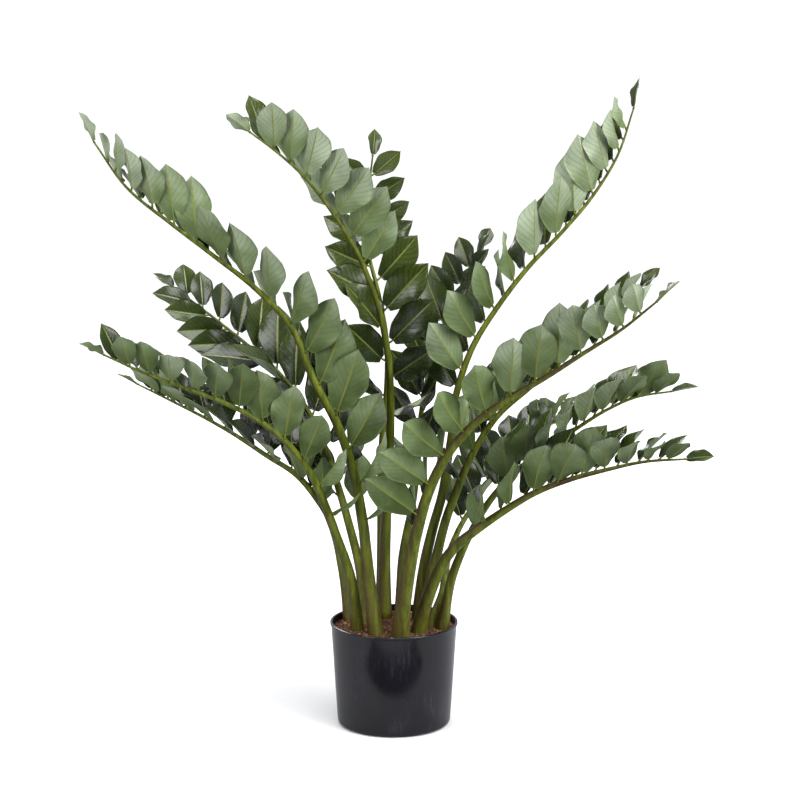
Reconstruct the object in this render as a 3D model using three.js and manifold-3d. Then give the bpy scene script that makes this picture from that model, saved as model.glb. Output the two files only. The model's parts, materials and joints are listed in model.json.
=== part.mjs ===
// Potted ZZ plant: a plain round pot, its soil, four rhizomes, and thirteen fronds. A frond is a stem,
// two rows of leaflets and one leaflet at its tip. Millimetres, +Z up, and the origin is the centre of
// the pot's underside. The plant's front looks along -Y.
import * as THREE from "three";
import { mergeVertices } from "three/addons/utils/BufferGeometryUtils.js";
import Module from "manifold-3d";

const wasm = await Module();
wasm.setup();

// Fits
const GAP = 0.3; // between two pieces that meet
const LEAF_GAP = 0.5; // the least air between a leaflet and anything it isn't part of

// Pot and soil
const POT_RIM_DIAMETER = 210;
const POT_BASE_DIAMETER = 186;
const POT_HEIGHT = 171;
const POT_WALL = 2.6;
const POT_FLOOR = 3;
const POT_CORNER = 7; // the round between wall and base
const POT_LIP = 1.2; // how far the rim's lip stands out
const POT_LIP_DEPTH = 5;
const POT_SIDES = 40;
const DRAIN_HOLE_DIAMETER = 10;
const DRAIN_HOLES = 6;
const SOIL_BELOW_RIM = 11;
const SOIL_CROWN = 3; // how much higher the soil's middle is than its edge

// Stems
const STEM_SIDES = 8;
const BARE_RINGS = 8; // rings on the part of a stem that carries no leaflets
const PAIRS_PER_RING = 1.7; // pairs of leaflets between two rings on the rest of it
const STEM_TIP_RADIUS = 1.5;
const STEM_DEPTH = 72; // how far a stem reaches below the soil, towards its rhizome
const STEM_DRAWN_IN = 0.94; // its foot's distance from the pot's axis, as a share of that at the soil

// Leaflets
const LEAF_WIDTH = 0.56; // as a share of its length
const LEAF_THICKNESS = 1.6;
const LEAF_FOOT_WIDTH = 1.4;
const LEAF_FOOT_THICKNESS = 0.8;
const LEAF_FOLD = 0.16; // how far the edges rise above the midrib, as a share of the half width
const LEAF_DROOP = 0.06; // how far the tip bends back, as a share of the length
const LEAF_SHINGLE = 16; // degrees each leaflet is turned about its own length
const TIP_LEAF_SIZE = 0.86; // the leaflet at a frond's tip, against the last ones in its rows
const QUIRKS = { swing: 10, lift: 12, roll: 18, size: 0.09, twist: 70 }; // degrees, and a share
const TWISTED_SHARE = 0.45; // the lower share of a row in which some leaflets are twisted
const SEAM_WIDTH = 3; // the strip of tissue beside the stem that a row of leaflets grows from
const SEAM_THICKNESS = 2;
const SHORTEST_EDGE = 0.01; // of a joined row, so that it stays closed when it is written down
const SEAM_SHORT = 3; // how far before the stem's end a seam stops
const LEAF_WIDEST = [
  { along: 0.2, width: 0.64 },
  { along: 0.48, width: 1 },
  { along: 0.76, width: 0.8 },
]; // where along a leaflet its outline turns, and its width there as a share of the full one

// Fronds, with the points each stem passes above the soil, its radius there, the share of its length
// where leaflets begin, leaflets on a side, the longest leaflet, and how the rows are held: the angle
// from the stem, the angle the rows rise from flat, and the turn about the stem. The leaflet at the
// tip has its own lift from the stem's line and turn about its length.
const SOIL_TOP = POT_HEIGHT - SOIL_BELOW_RIM;
const FRONDS = [
  {
    name: "01", radius: 12.5, leafFrom: 0.2, pairs: 15, longest: 112, splay: 43, rise: 46, turn: 22,
    tipLift: 20, tipTurn: 8,
    path: [[-30, -45, 0], [-40, -50, 95], [-55, -60, 225], [-80, -70, 330], [-120, -75, 410],
      [-170, -80, 525], [-250, -90, 600], [-340, -95, 670], [-430, -105, 750], [-460, -105, 800]],
  },
  {
    name: "02", radius: 12, leafFrom: 0.68, pairs: 7, longest: 106, splay: 50, rise: 46, turn: 6,
    tipLift: 0, tipTurn: 30,
    path: [[-15, 5, 0], [-15, 5, 115], [-10, -5, 230], [-5, -20, 350], [-10, -40, 465],
      [-35, -65, 575], [-80, -100, 670], [-145, -140, 760], [-215, -180, 820]],
  },
  {
    name: "03", radius: 11, leafFrom: 0.4, pairs: 9, longest: 100, splay: 56, rise: 20, turn: 0,
    tipLift: 0, tipTurn: 35,
    path: [[-20, 50, 0], [-20, 55, 100], [-20, 60, 285], [-10, 65, 430], [-20, 75, 520],
      [-40, 85, 600], [-45, 95, 660], [-40, 105, 715], [-35, 120, 765]],
  },
  {
    name: "04", radius: 11, leafFrom: 0.42, pairs: 11, longest: 110, splay: 48, rise: 60, turn: -14,
    tipLift: 0, tipTurn: 20,
    path: [[40, 45, 0], [55, 40, 120], [80, 30, 220], [95, 30, 325], [110, 30, 420],
      [150, 30, 500], [220, 35, 595], [305, 40, 685], [350, 45, 755], [380, 50, 810], [385, 55, 845]],
  },
  {
    name: "05", radius: 9.5, leafFrom: 0.4, pairs: 9, longest: 96, splay: 46, rise: 50, turn: 0,
    tipLift: 0, tipTurn: 35,
    path: [[10, 60, 0], [15, 75, 105], [30, 95, 180], [40, 120, 255], [45, 150, 325],
      [60, 180, 400], [85, 220, 470], [120, 260, 535], [150, 300, 595]],
  },
  {
    name: "06", radius: 15, leafFrom: 0.25, pairs: 12, longest: 110, splay: 58, rise: 52, turn: 0,
    tipLift: 18, tipTurn: 15,
    path: [[10, -60, 0], [20, -85, 90], [35, -110, 180], [60, -135, 270], [100, -160, 345],
      [155, -190, 400], [225, -220, 450], [285, -250, 495], [345, -280, 540], [385, -310, 580]],
  },
  {
    name: "07", radius: 11.5, leafFrom: 0.32, pairs: 10, longest: 100, splay: 50, rise: 52, turn: 0,
    tipLift: 15, tipTurn: 35,
    path: [[45, 15, 0], [65, 20, 90], [85, 20, 175], [105, 20, 230], [130, 20, 290],
      [160, 20, 340], [215, 20, 390], [270, 20, 445], [350, 15, 515], [395, 10, 560]],
  },
  {
    name: "08", radius: 10, leafFrom: 0.44, pairs: 9, longest: 96, splay: 46, rise: 50, turn: 0,
    tipLift: 4, tipTurn: 15,
    path: [[80, -15, 0], [95, -20, 90], [115, -30, 145], [145, -35, 205], [195, -45, 270],
      [265, -60, 325], [325, -75, 370], [385, -85, 400], [435, -95, 410]],
  },
  {
    name: "09", radius: 13, leafFrom: 0.36, pairs: 9, longest: 96, splay: 52, rise: 55, turn: 0,
    tipLift: 4, tipTurn: 45,
    path: [[40, -35, 0], [70, -60, 105], [95, -75, 150], [150, -95, 200], [235, -125, 260],
      [320, -160, 295], [380, -185, 315], [445, -210, 325]],
  },
  {
    name: "10", radius: 8, leafFrom: 0.38, pairs: 8, longest: 86, splay: 46, rise: 45, turn: 0,
    tipLift: 0, tipTurn: 35,
    path: [[60, -5, 0], [80, 10, 55], [90, 40, 110], [115, 75, 160], [150, 115, 205],
      [190, 165, 250], [245, 215, 285], [295, 275, 310]],
  },
  {
    name: "11", radius: 11, leafFrom: 0.3, pairs: 11, longest: 96, splay: 56, rise: 52, turn: 0,
    tipLift: 28, tipTurn: 25,
    path: [[-60, -20, 0], [-70, -35, 90], [-95, -55, 175], [-125, -75, 260], [-170, -100, 330],
      [-235, -130, 385], [-305, -160, 420], [-375, -200, 455], [-435, -235, 490]],
  },
  {
    name: "12", radius: 9.5, leafFrom: 0.34, pairs: 9, longest: 90, splay: 48, rise: 48, turn: 0,
    tipLift: 5, tipTurn: 25,
    path: [[-75, 40, 0], [-85, 55, 75], [-105, 75, 155], [-150, 90, 225], [-220, 110, 270],
      [-290, 135, 310], [-365, 155, 345], [-435, 180, 375]],
  },
  {
    name: "13", radius: 10, leafFrom: 0.3, pairs: 10, longest: 110, splay: 46, rise: 20, turn: -30,
    tipLift: 0, tipTurn: 25,
    path: [[-50, 25, 0], [-55, 40, 80], [-75, 60, 160], [-100, 85, 240], [-130, 110, 315],
      [-175, 145, 380], [-240, 180, 435], [-310, 220, 485], [-380, 265, 530]],
  },
];

// Rhizomes: where each lies, with its height from the stems' feet, and its half sizes.
const RHIZOMES = [
  { name: "1", at: [-60, 12, -6], size: [25, 35, 24], turn: -15 },
  { name: "2", at: [-8, -28, -8], size: [28, 39, 25], turn: 0 },
  { name: "3", at: [6, 46, -10], size: [38, 24, 24], turn: 5 },
  { name: "4", at: [53, -8, -8], size: [26, 38, 25], turn: 8 },
];

// Finishes
const CHARCOAL_PLASTIC = { color: "#333437", roughness: 0.42, metalness: 0 };
const POTTING_SOIL = { color: "#5d4130", roughness: 0.95, metalness: 0 };
const TUBER_SKIN = { color: "#a98a5e", roughness: 0.8, metalness: 0 };
const STEM_GREEN = { color: "#6b7d3f", roughness: 0.5, metalness: 0 };
const LEAF_GREEN = { color: "#5f7a50", roughness: 0.45, metalness: 0 };

const UP = new THREE.Vector3(0, 0, 1);
const radians = THREE.MathUtils.degToRad;
const lerp = THREE.MathUtils.lerp;

function toSolid(geometry) {
  const bare = geometry.index ? geometry.clone() : geometry;
  bare.deleteAttribute("normal");
  bare.deleteAttribute("uv");
  const welded = mergeVertices(bare, 1e-4);
  const mesh = new wasm.Mesh({
    numProp: 3,
    vertProperties: new Float32Array(welded.attributes.position.array),
    triVerts: new Uint32Array(welded.index.array),
  });
  mesh.merge();
  return new wasm.Manifold(mesh);
}

function toGeometry(solid) {
  const mesh = solid.getMesh();
  const indexed = new THREE.BufferGeometry();
  indexed.setAttribute("position", new THREE.BufferAttribute(mesh.vertProperties.slice(), 3));
  indexed.setIndex(new THREE.BufferAttribute(mesh.triVerts.slice(), 1));
  const geometry = indexed.toNonIndexed();
  geometry.computeVertexNormals();
  return geometry;
}

function piece(name, solid, finish) {
  const mesh = new THREE.Mesh(toGeometry(solid), new THREE.MeshStandardMaterial(finish));
  mesh.name = name;
  return mesh;
}

// A cylinder or cone whose every point is moved. The place function gets how far along the point is,
// its angle, and 0 for a point on the axis or 1 for one on the surface.
function reshaped(sides, segments, pointed, place) {
  const blank = new THREE.CylinderGeometry(pointed ? 0 : 1, 1, 1, sides, segments);
  const points = blank.attributes.position;
  for (let i = 0; i < points.count; i += 1) {
    const x = points.getX(i);
    const z = points.getZ(i);
    const out = Math.hypot(x, z) > 1e-6 ? 1 : 0;
    const spot = place(points.getY(i) + 0.5, Math.atan2(x, z), out);
    points.setXYZ(i, spot.x, spot.y, spot.z);
  }
  return toSolid(blank);
}

// A line of frames along a frond: point, direction, the side the leaflets' upper faces look to, and
// the plant's right of it.
function spineOf(frond) {
  const above = frond.path.map(([x, y, z]) => new THREE.Vector3(x, y, z + SOIL_TOP));
  const foot = above[0].clone().multiply(new THREE.Vector3(STEM_DRAWN_IN, STEM_DRAWN_IN, 1));
  foot.z -= STEM_DEPTH;
  const curve = new THREE.CatmullRomCurve3([foot, ...above], false, "centripetal");
  curve.arcLengthDivisions = 400;
  const tip = above[above.length - 1];
  const outward = new THREE.Vector3(tip.x - above[0].x, tip.y - above[0].y, 0).normalize();
  const faces = UP.clone().addScaledVector(outward, -0.6);
  const buried = STEM_DEPTH / curve.getLength();
  const frameAt = (share) => {
    const point = curve.getPointAt(share);
    const along = curve.getTangentAt(share);
    const upper = faces.clone().addScaledVector(along, -faces.dot(along)).normalize();
    upper.applyAxisAngle(along, radians(frond.turn));
    return { point, along, upper, side: along.clone().cross(upper) };
  };
  const leafStart = buried + (1 - buried) * frond.leafFrom;
  return { frameAt, buried, leafStart, length: curve.getLength() };
}

function stemRadius(frond, spine, share) {
  const grown = Math.max(0, (share - spine.buried) / (1 - spine.buried));
  const swollen = 1 + 0.1 * Math.exp(-((grown / 0.05) ** 2));
  return swollen * lerp(frond.radius, STEM_TIP_RADIUS, Math.min(1, grown) ** 0.72);
}

// Leaflets stand closer together towards the tip of a frond.
function leafShares(frond, spine, offset) {
  return Array.from({ length: frond.pairs }, (_, i) => {
    const even = (i + offset) / frond.pairs;
    const share = even * (1.26 - 0.26 * even);
    return lerp(spine.leafStart, 0.98, share);
  });
}

// The shares of a stem's length at which it and the seams beside it have rings.
function ringShares(frond, spine) {
  const bare = Array.from({ length: BARE_RINGS }, (_, i) => (i / BARE_RINGS) * spine.leafStart);
  const count = Math.ceil(frond.pairs / PAIRS_PER_RING);
  const leafy = Array.from({ length: count + 1 }, (_, i) => lerp(spine.leafStart, 1, i / count));
  return [...bare, ...leafy];
}

function stemSolid(frond, spine, shares, grow) {
  return reshaped(STEM_SIDES, shares.length - 1, false, (along, angle, out) => {
    const share = shares[Math.round(along * (shares.length - 1))];
    const { point, along: upwards, side, upper } = spine.frameAt(share);
    const radius = out * (stemRadius(frond, spine, share) + grow);
    return point
      .clone()
      .addScaledVector(upwards, share === 0 ? -grow : 0)
      .addScaledVector(side, radius * Math.sin(angle))
      .addScaledVector(upper, radius * Math.cos(angle));
  });
}

// The direction away from the stem in which a row rises: hand is 1 for right and -1 for left.
function rowDirection(frame, hand, rise) {
  return frame.side
    .clone()
    .multiplyScalar(hand * Math.cos(rise))
    .addScaledVector(frame.upper, Math.sin(rise));
}

function seamCentre(frond, spine, share, hand) {
  const frame = spine.frameAt(share);
  const away = rowDirection(frame, hand, radians(frond.rise * 0.5));
  const reach = stemRadius(frond, spine, share) + GAP + SEAM_THICKNESS / 2;
  return { frame, away, centre: frame.point.clone().addScaledVector(away, reach) };
}

function seamShares(frond, spine) {
  return ringShares(frond, spine).filter((share) => share >= spine.leafStart);
}

function seamSolid(frond, spine, hand, widened) {
  const shares = seamShares(frond, spine);
  const last = shares.length - 1;
  return reshaped(4, last, false, (along, angle, out) => {
    const share = shares[Math.round(along * last)] - (along === 1 ? SEAM_SHORT / spine.length : 0);
    const { frame, away, centre } = seamCentre(frond, spine, share, hand);
    const across = frame.along.clone().cross(away);
    const turned = angle + Math.PI / 4;
    const middle = along === 1 ? footOf(frond, spine, share, hand) : centre;
    return middle
      .clone()
      .addScaledVector(across, out * (SEAM_WIDTH + widened) * Math.SQRT1_2 * Math.sin(turned))
      .addScaledVector(away, out * SEAM_THICKNESS * Math.SQRT1_2 * Math.cos(turned));
  });
}

// A point inside the seam, between the two rings around it.
function footOf(frond, spine, share, hand) {
  const shares = seamShares(frond, spine);
  const next = shares.findIndex((ring) => ring > share);
  const [a, b] = [shares[next - 1], shares[next]];
  const from = seamCentre(frond, spine, a, hand).centre;
  return from.lerp(seamCentre(frond, spine, b, hand).centre, (share - a) / (b - a));
}

// One leaflet: a folded blade with sharp edges, drawn from its foot towards its tip.
function leafSolid(foot, towards, normal, length) {
  const across = towards.clone().cross(normal).normalize();
  const full = length * LEAF_WIDTH;
  const stations = [
    { along: 0, width: LEAF_FOOT_WIDTH, thickness: LEAF_FOOT_THICKNESS },
    ...LEAF_WIDEST.map((at) => ({ along: at.along, width: at.width * full, thickness: LEAF_THICKNESS })),
    { along: 1, width: 0, thickness: 0 },
  ];
  return reshaped(4, stations.length - 1, true, (ring, angle, out) => {
    const station = stations[Math.round(ring * (stations.length - 1))];
    const edge = (out * Math.sin(angle) * station.width) / 2;
    const thick = (out * Math.cos(angle) * station.thickness) / 2;
    const raised = LEAF_FOLD * Math.abs(edge) - LEAF_DROOP * length * station.along ** 2;
    return foot
      .clone()
      .addScaledVector(towards, length * station.along)
      .addScaledVector(across, edge)
      .addScaledVector(normal, thick + raised);
  });
}

// Everything placed so far, which a new leaflet has to keep clear of.
class Placed {
  constructor() {
    this.items = [];
  }

  add(solid, owner) {
    this.items.push({ solid, owner, box: solid.boundingBox() });
  }

  isClear(solid, owner) {
    const box = solid.boundingBox();
    return this.items.every((item) => {
      const apart = [0, 1, 2].some(
        (k) => box.min[k] > item.box.max[k] + LEAF_GAP || box.max[k] < item.box.min[k] - LEAF_GAP,
      );
      return apart || item.owner === owner || solid.minGap(item.solid, LEAF_GAP) >= LEAF_GAP;
    });
  }
}

// Ways to hold a leaflet, from its natural one outwards: degrees swung along the stem, degrees lifted,
// and a share of the full size.
const HOLDS = [1, 0.86, 0.72, 0.58, 0.45].flatMap((size) =>
  [0, 8, -8, 16, -16, 26, -26, 36, -36].flatMap((swing) =>
    [0, 12, -12, 24, -24].map((lift) => ({ swing, lift, size })),
  ),
);
HOLDS.sort((a, b) => effort(a) - effort(b));

function effort(hold) {
  return Math.abs(hold.swing) + Math.abs(hold.lift) + 130 * (1 - hold.size);
}

// The first hold of a leaflet that is clear of what is placed, or null.
function settle(placed, owner, make) {
  for (const hold of HOLDS) {
    const leaf = make(hold);
    if (placed.isClear(leaf, owner)) {
      return leaf;
    }
    leaf.delete();
  }
  return null;
}

function leafLength(frond, grown) {
  return frond.longest * (0.82 + 0.84 * grown - 1.12 * grown ** 2);
}

function rowLeaf(frond, spine, share, hand, natural, hold) {
  const frame = spine.frameAt(share);
  const grown = (share - spine.leafStart) / (1 - spine.leafStart);
  const rise = radians(frond.rise + hold.lift + natural.lift);
  const splay = radians(lerp(frond.splay + 8, frond.splay - 6, grown) + hold.swing + natural.swing);
  const away = rowDirection(frame, hand, rise);
  const towards = frame.along
    .clone()
    .multiplyScalar(Math.cos(splay))
    .addScaledVector(away, Math.sin(splay));
  const normal = away.clone().cross(frame.along).multiplyScalar(hand);
  const twist = natural.twist * Math.max(0, 1 - grown / TWISTED_SHARE);
  normal.applyAxisAngle(towards, radians((LEAF_SHINGLE + natural.roll + twist) * hand));
  const foot = footOf(frond, spine, share, hand);
  const length = leafLength(frond, grown) * (1 + natural.size) * hold.size;
  return leafSolid(foot, towards, normal, length);
}

function tipLeaf(frond, spine, hold) {
  const frame = spine.frameAt(1);
  const towards = frame.along.clone();
  towards.applyAxisAngle(frame.side, radians(hold.lift + frond.tipLift));
  towards.applyAxisAngle(frame.upper, radians(hold.swing));
  const foot = frame.point.clone().addScaledVector(towards, GAP + 0.3);
  const normal = frame.upper.clone().addScaledVector(towards, -frame.upper.dot(towards)).normalize();
  normal.applyAxisAngle(towards, radians(frond.tipTurn));
  return leafSolid(foot, towards, normal, leafLength(frond, 1) * TIP_LEAF_SIZE * hold.size);
}

// The same small irregularities in every run.
function natural(seed) {
  const wave = (k) => Math.sin(seed * 12.9898 + k * 78.233);
  return {
    swing: QUIRKS.swing * wave(1),
    lift: QUIRKS.lift * wave(2),
    roll: QUIRKS.roll * wave(3),
    size: QUIRKS.size * wave(4),
    twist: wave(5) > 0.5 ? QUIRKS.twist : 0,
  };
}

function shortestEdge(solid) {
  const { vertProperties: at, triVerts: corners } = solid.getMesh();
  let shortest = Infinity;
  for (let i = 0; i < corners.length; i += 1) {
    const a = 3 * corners[i];
    const b = 3 * corners[i % 3 === 2 ? i - 2 : i + 1];
    shortest = Math.min(shortest, Math.hypot(at[a] - at[b], at[a + 1] - at[b + 1], at[a + 2] - at[b + 2]));
  }
  return shortest;
}

// A row's leaflets joined by its seam. Where that leaves a sliver, the seam is made a hair wider.
function rowSolid(frond, spine, hand, leaves) {
  for (let widened = 0; ; widened += 0.02) {
    const seam = seamSolid(frond, spine, hand, widened);
    const solid = wasm.Manifold.union([seam, ...leaves]).simplify(0.05);
    if (shortestEdge(solid) > SHORTEST_EDGE || widened > 0.3) {
      return solid;
    }
  }
}

function addFronds(group, stems, spines) {
  const placed = new Placed();
  stems.forEach((stem) => placed.add(stem, null));
  placed.add(potOutside(), null);
  const seams = FRONDS.map((frond, f) =>
    [-1, 1].map((hand) => seamSolid(frond, spines[f], hand, 0)),
  );
  seams.flat().forEach((seam) => placed.add(seam, seam));
  FRONDS.forEach((frond, f) => {
    const tip = settle(placed, stems[f], (hold) => tipLeaf(frond, spines[f], hold));
    placed.add(tip, tip);
    group.add(piece(`tip_leaflet_${frond.name}`, tip, LEAF_GREEN));
  });
  FRONDS.forEach((frond, f) => {
    [-1, 1].forEach((hand, row) => {
      const seam = seams[f][row];
      const leaves = [];
      leafShares(frond, spines[f], hand < 0 ? 0.1 : 0.6).forEach((share, i) => {
        const quirk = natural(f * 37 + i * 2 + row);
        const make = (hold) => rowLeaf(frond, spines[f], share, hand, quirk, hold);
        const leaf = settle(placed, seam, make);
        if (leaf) {
          placed.add(leaf, null);
          leaves.push(leaf);
        }
      });
      const rowName = hand < 0 ? "left" : "right";
      const solid = rowSolid(frond, spines[f], hand, leaves);
      group.add(piece(`leaflets_${frond.name}_${rowName}`, solid, LEAF_GREEN));
    });
  });
}

// The pot's outer radius at a height.
function potRadius(z) {
  return lerp(POT_BASE_DIAMETER, POT_RIM_DIAMETER - 2 * POT_LIP, z / POT_HEIGHT) / 2;
}

function lathed(points) {
  return toSolid(new THREE.LatheGeometry(points, POT_SIDES).rotateX(Math.PI / 2));
}

function cornerPoints(radius, z, round) {
  return [0, 45, 90].map((degrees) => {
    const a = radians(degrees);
    return new THREE.Vector2(radius - round + round * Math.sin(a), z + round - round * Math.cos(a));
  });
}

function potSolid() {
  const inside = (z) => potRadius(z) - POT_WALL;
  const innerCorner = POT_CORNER - POT_WALL;
  const outline = [
    new THREE.Vector2(0, 0),
    ...cornerPoints(potRadius(POT_CORNER), 0, POT_CORNER),
    new THREE.Vector2(potRadius(POT_HEIGHT - POT_LIP_DEPTH), POT_HEIGHT - POT_LIP_DEPTH),
    new THREE.Vector2(POT_RIM_DIAMETER / 2, POT_HEIGHT - POT_LIP_DEPTH + POT_LIP),
    new THREE.Vector2(POT_RIM_DIAMETER / 2, POT_HEIGHT - 0.8),
    new THREE.Vector2(POT_RIM_DIAMETER / 2 - 0.8, POT_HEIGHT),
    new THREE.Vector2(inside(POT_HEIGHT), POT_HEIGHT),
    ...cornerPoints(inside(POT_FLOOR + innerCorner), POT_FLOOR, innerCorner).reverse(),
    new THREE.Vector2(0, POT_FLOOR),
  ];
  const hole = new THREE.CylinderGeometry(
    DRAIN_HOLE_DIAMETER / 2, DRAIN_HOLE_DIAMETER / 2, POT_FLOOR * 4, 12,
  ).rotateX(Math.PI / 2);
  const holes = Array.from({ length: DRAIN_HOLES }, (_, i) => {
    const a = ((i + 0.5) / DRAIN_HOLES) * 2 * Math.PI;
    const r = POT_BASE_DIAMETER * 0.34;
    return toSolid(hole.clone().translate(r * Math.cos(a), r * Math.sin(a), 0));
  });
  return lathed(outline).subtract(wasm.Manifold.union(holes));
}

// The pot filled in, for keeping leaflets out of it.
function potOutside() {
  const top = new THREE.Vector2(POT_RIM_DIAMETER / 2, POT_HEIGHT);
  return lathed([new THREE.Vector2(0, 0), new THREE.Vector2(POT_BASE_DIAMETER / 2, 0), top,
    new THREE.Vector2(0, POT_HEIGHT)]);
}

function soilSolid(cutters) {
  const edge = (z) => potRadius(z) - POT_WALL - GAP;
  const floor = POT_FLOOR + GAP;
  const corner = POT_CORNER - POT_WALL;
  const blank = lathed([
    new THREE.Vector2(0, floor),
    ...cornerPoints(edge(floor + corner), floor, corner),
    new THREE.Vector2(edge(SOIL_TOP), SOIL_TOP),
    new THREE.Vector2(0, SOIL_TOP + SOIL_CROWN),
  ]);
  return blank.subtract(wasm.Manifold.union(cutters));
}

function rhizomeSolid(rhizome, grow) {
  const [a, b, c] = rhizome.size.map((half) => half + grow);
  const ball = new THREE.SphereGeometry(1, 12, 8)
    .rotateX(Math.PI / 2)
    .scale(a, b, c)
    .rotateZ(radians(rhizome.turn))
    .translate(...rhizome.at)
    .translate(0, 0, SOIL_TOP - STEM_DEPTH);
  return toSolid(ball);
}

function buildPlant() {
  const group = new THREE.Group();
  group.name = "potted_zz_plant";
  const spines = FRONDS.map(spineOf);
  const shares = FRONDS.map((frond, f) => ringShares(frond, spines[f]));
  const whole = FRONDS.map((frond, f) => stemSolid(frond, spines[f], shares[f], 0));
  const bores = FRONDS.map((frond, f) => stemSolid(frond, spines[f], shares[f], GAP));
  const beds = RHIZOMES.map((rhizome) => rhizomeSolid(rhizome, GAP));
  const bed = wasm.Manifold.union(beds);
  const stems = whole.map((stem) => stem.subtract(bed));
  group.add(piece("pot", potSolid(), CHARCOAL_PLASTIC));
  group.add(piece("soil", soilSolid([...bores, ...beds]), POTTING_SOIL));
  RHIZOMES.forEach((rhizome) => {
    group.add(piece(`rhizome_${rhizome.name}`, rhizomeSolid(rhizome, 0), TUBER_SKIN));
  });
  FRONDS.forEach((frond, f) => group.add(piece(`stem_${frond.name}`, stems[f], STEM_GREEN)));
  addFronds(group, stems, spines);
  return group;
}

export default buildPlant();
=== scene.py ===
"""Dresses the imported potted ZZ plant: pot, soil, rhizomes, thirteen fronds and a plain light studio.

Every leaflet and stem is grown on the frame's own solids, so it stands where they stand.
Lengths are metres unless a name says otherwise.
"""

from __future__ import annotations

import json
import logging
import math
from dataclasses import dataclass, field
from enum import Enum
from typing import Any, Mapping, Sequence

import bmesh
import bpy
import numpy as np
from mathutils import Matrix, Vector, noise

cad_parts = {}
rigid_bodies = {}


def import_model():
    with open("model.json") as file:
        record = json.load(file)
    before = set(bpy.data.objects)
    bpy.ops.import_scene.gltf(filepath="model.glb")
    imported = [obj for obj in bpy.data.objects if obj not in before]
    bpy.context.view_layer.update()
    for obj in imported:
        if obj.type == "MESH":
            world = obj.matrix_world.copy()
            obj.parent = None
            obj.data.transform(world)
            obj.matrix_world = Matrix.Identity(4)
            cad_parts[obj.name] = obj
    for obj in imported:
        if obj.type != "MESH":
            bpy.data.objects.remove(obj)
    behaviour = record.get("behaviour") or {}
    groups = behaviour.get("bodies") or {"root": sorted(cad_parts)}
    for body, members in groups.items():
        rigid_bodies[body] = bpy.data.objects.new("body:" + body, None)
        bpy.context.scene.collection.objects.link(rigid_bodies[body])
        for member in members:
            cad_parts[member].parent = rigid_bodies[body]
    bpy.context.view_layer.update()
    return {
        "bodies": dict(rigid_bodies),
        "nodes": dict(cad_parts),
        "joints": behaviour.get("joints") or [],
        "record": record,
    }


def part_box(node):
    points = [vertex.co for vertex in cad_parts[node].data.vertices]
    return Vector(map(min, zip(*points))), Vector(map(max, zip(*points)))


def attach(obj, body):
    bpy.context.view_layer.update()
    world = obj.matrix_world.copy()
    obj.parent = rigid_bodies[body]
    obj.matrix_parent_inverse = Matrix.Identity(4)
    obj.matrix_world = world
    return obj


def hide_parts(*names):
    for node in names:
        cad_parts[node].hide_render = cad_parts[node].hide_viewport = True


LOG = logging.getLogger("zz_plant")
MM = 0.001
PLACE = "place"  # the attribute that tells a finish where on its piece a point is
BROWN_SHADED_SIDE = np.array([-0.85, 0.25, -0.35])  # the flank of each stem turned from the light, painted in a shaded brown
SIDE_VEINS = 9.0  # pairs on a leaflet
VEIN_SLANT = 0.30  # how far a side vein runs forward by the margin, as a share of the length

Array = np.ndarray
Links = Mapping[Any, Any]


class Axis(Enum):
    """The parts of the place attribute, by the letter that splits them off."""

    ALONG = "X"
    ACROSS = "Y"
    TONE = "Z"


def linear(hex_colour: str) -> tuple[float, float, float, float]:
    """Turns an sRGB hex colour to the linear one that shaders take.

    Args:
        hex_colour: A colour such as "#5f7a50".

    Returns:
        Linear red, green, blue and an alpha of 1.
    """
    parts = [int(hex_colour[i : i + 2], 16) / 255 for i in (1, 3, 5)]
    red, green, blue = (p / 12.92 if p <= 0.04045 else ((p + 0.055) / 1.055) ** 2.4 for p in parts)
    return red, green, blue, 1.0


def add_node(
    tree: bpy.types.NodeTree,
    kind: str,
    settings: Links | None = None,
    inputs: Links | None = None,
    stops: Sequence[tuple[float, str]] = (),
) -> bpy.types.Node:
    """Adds one node with its settings, and its inputs as values or links.

    Args:
        tree: The node tree to add to.
        kind: The node's type, without the leading "ShaderNode".
        settings: Properties of the node by name.
        inputs: Values or output sockets by the input's name or number.
        stops: A colour ramp's positions, from 0 to 1, with their hex colours.

    Returns:
        The new node.
    """
    node = tree.nodes.new("ShaderNode" + kind)
    for name, value in (settings or {}).items():
        setattr(node, name, value)
    for name, value in (inputs or {}).items():
        if isinstance(value, bpy.types.NodeSocket):
            tree.links.new(value, node.inputs[name])
        else:
            node.inputs[name].default_value = value
    for i, (position, colour) in enumerate(stops):
        elements = node.color_ramp.elements
        element = elements[i] if i < len(elements) else elements.new(1.0)
        element.position = position
        element.color = linear(colour)
    return node


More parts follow.
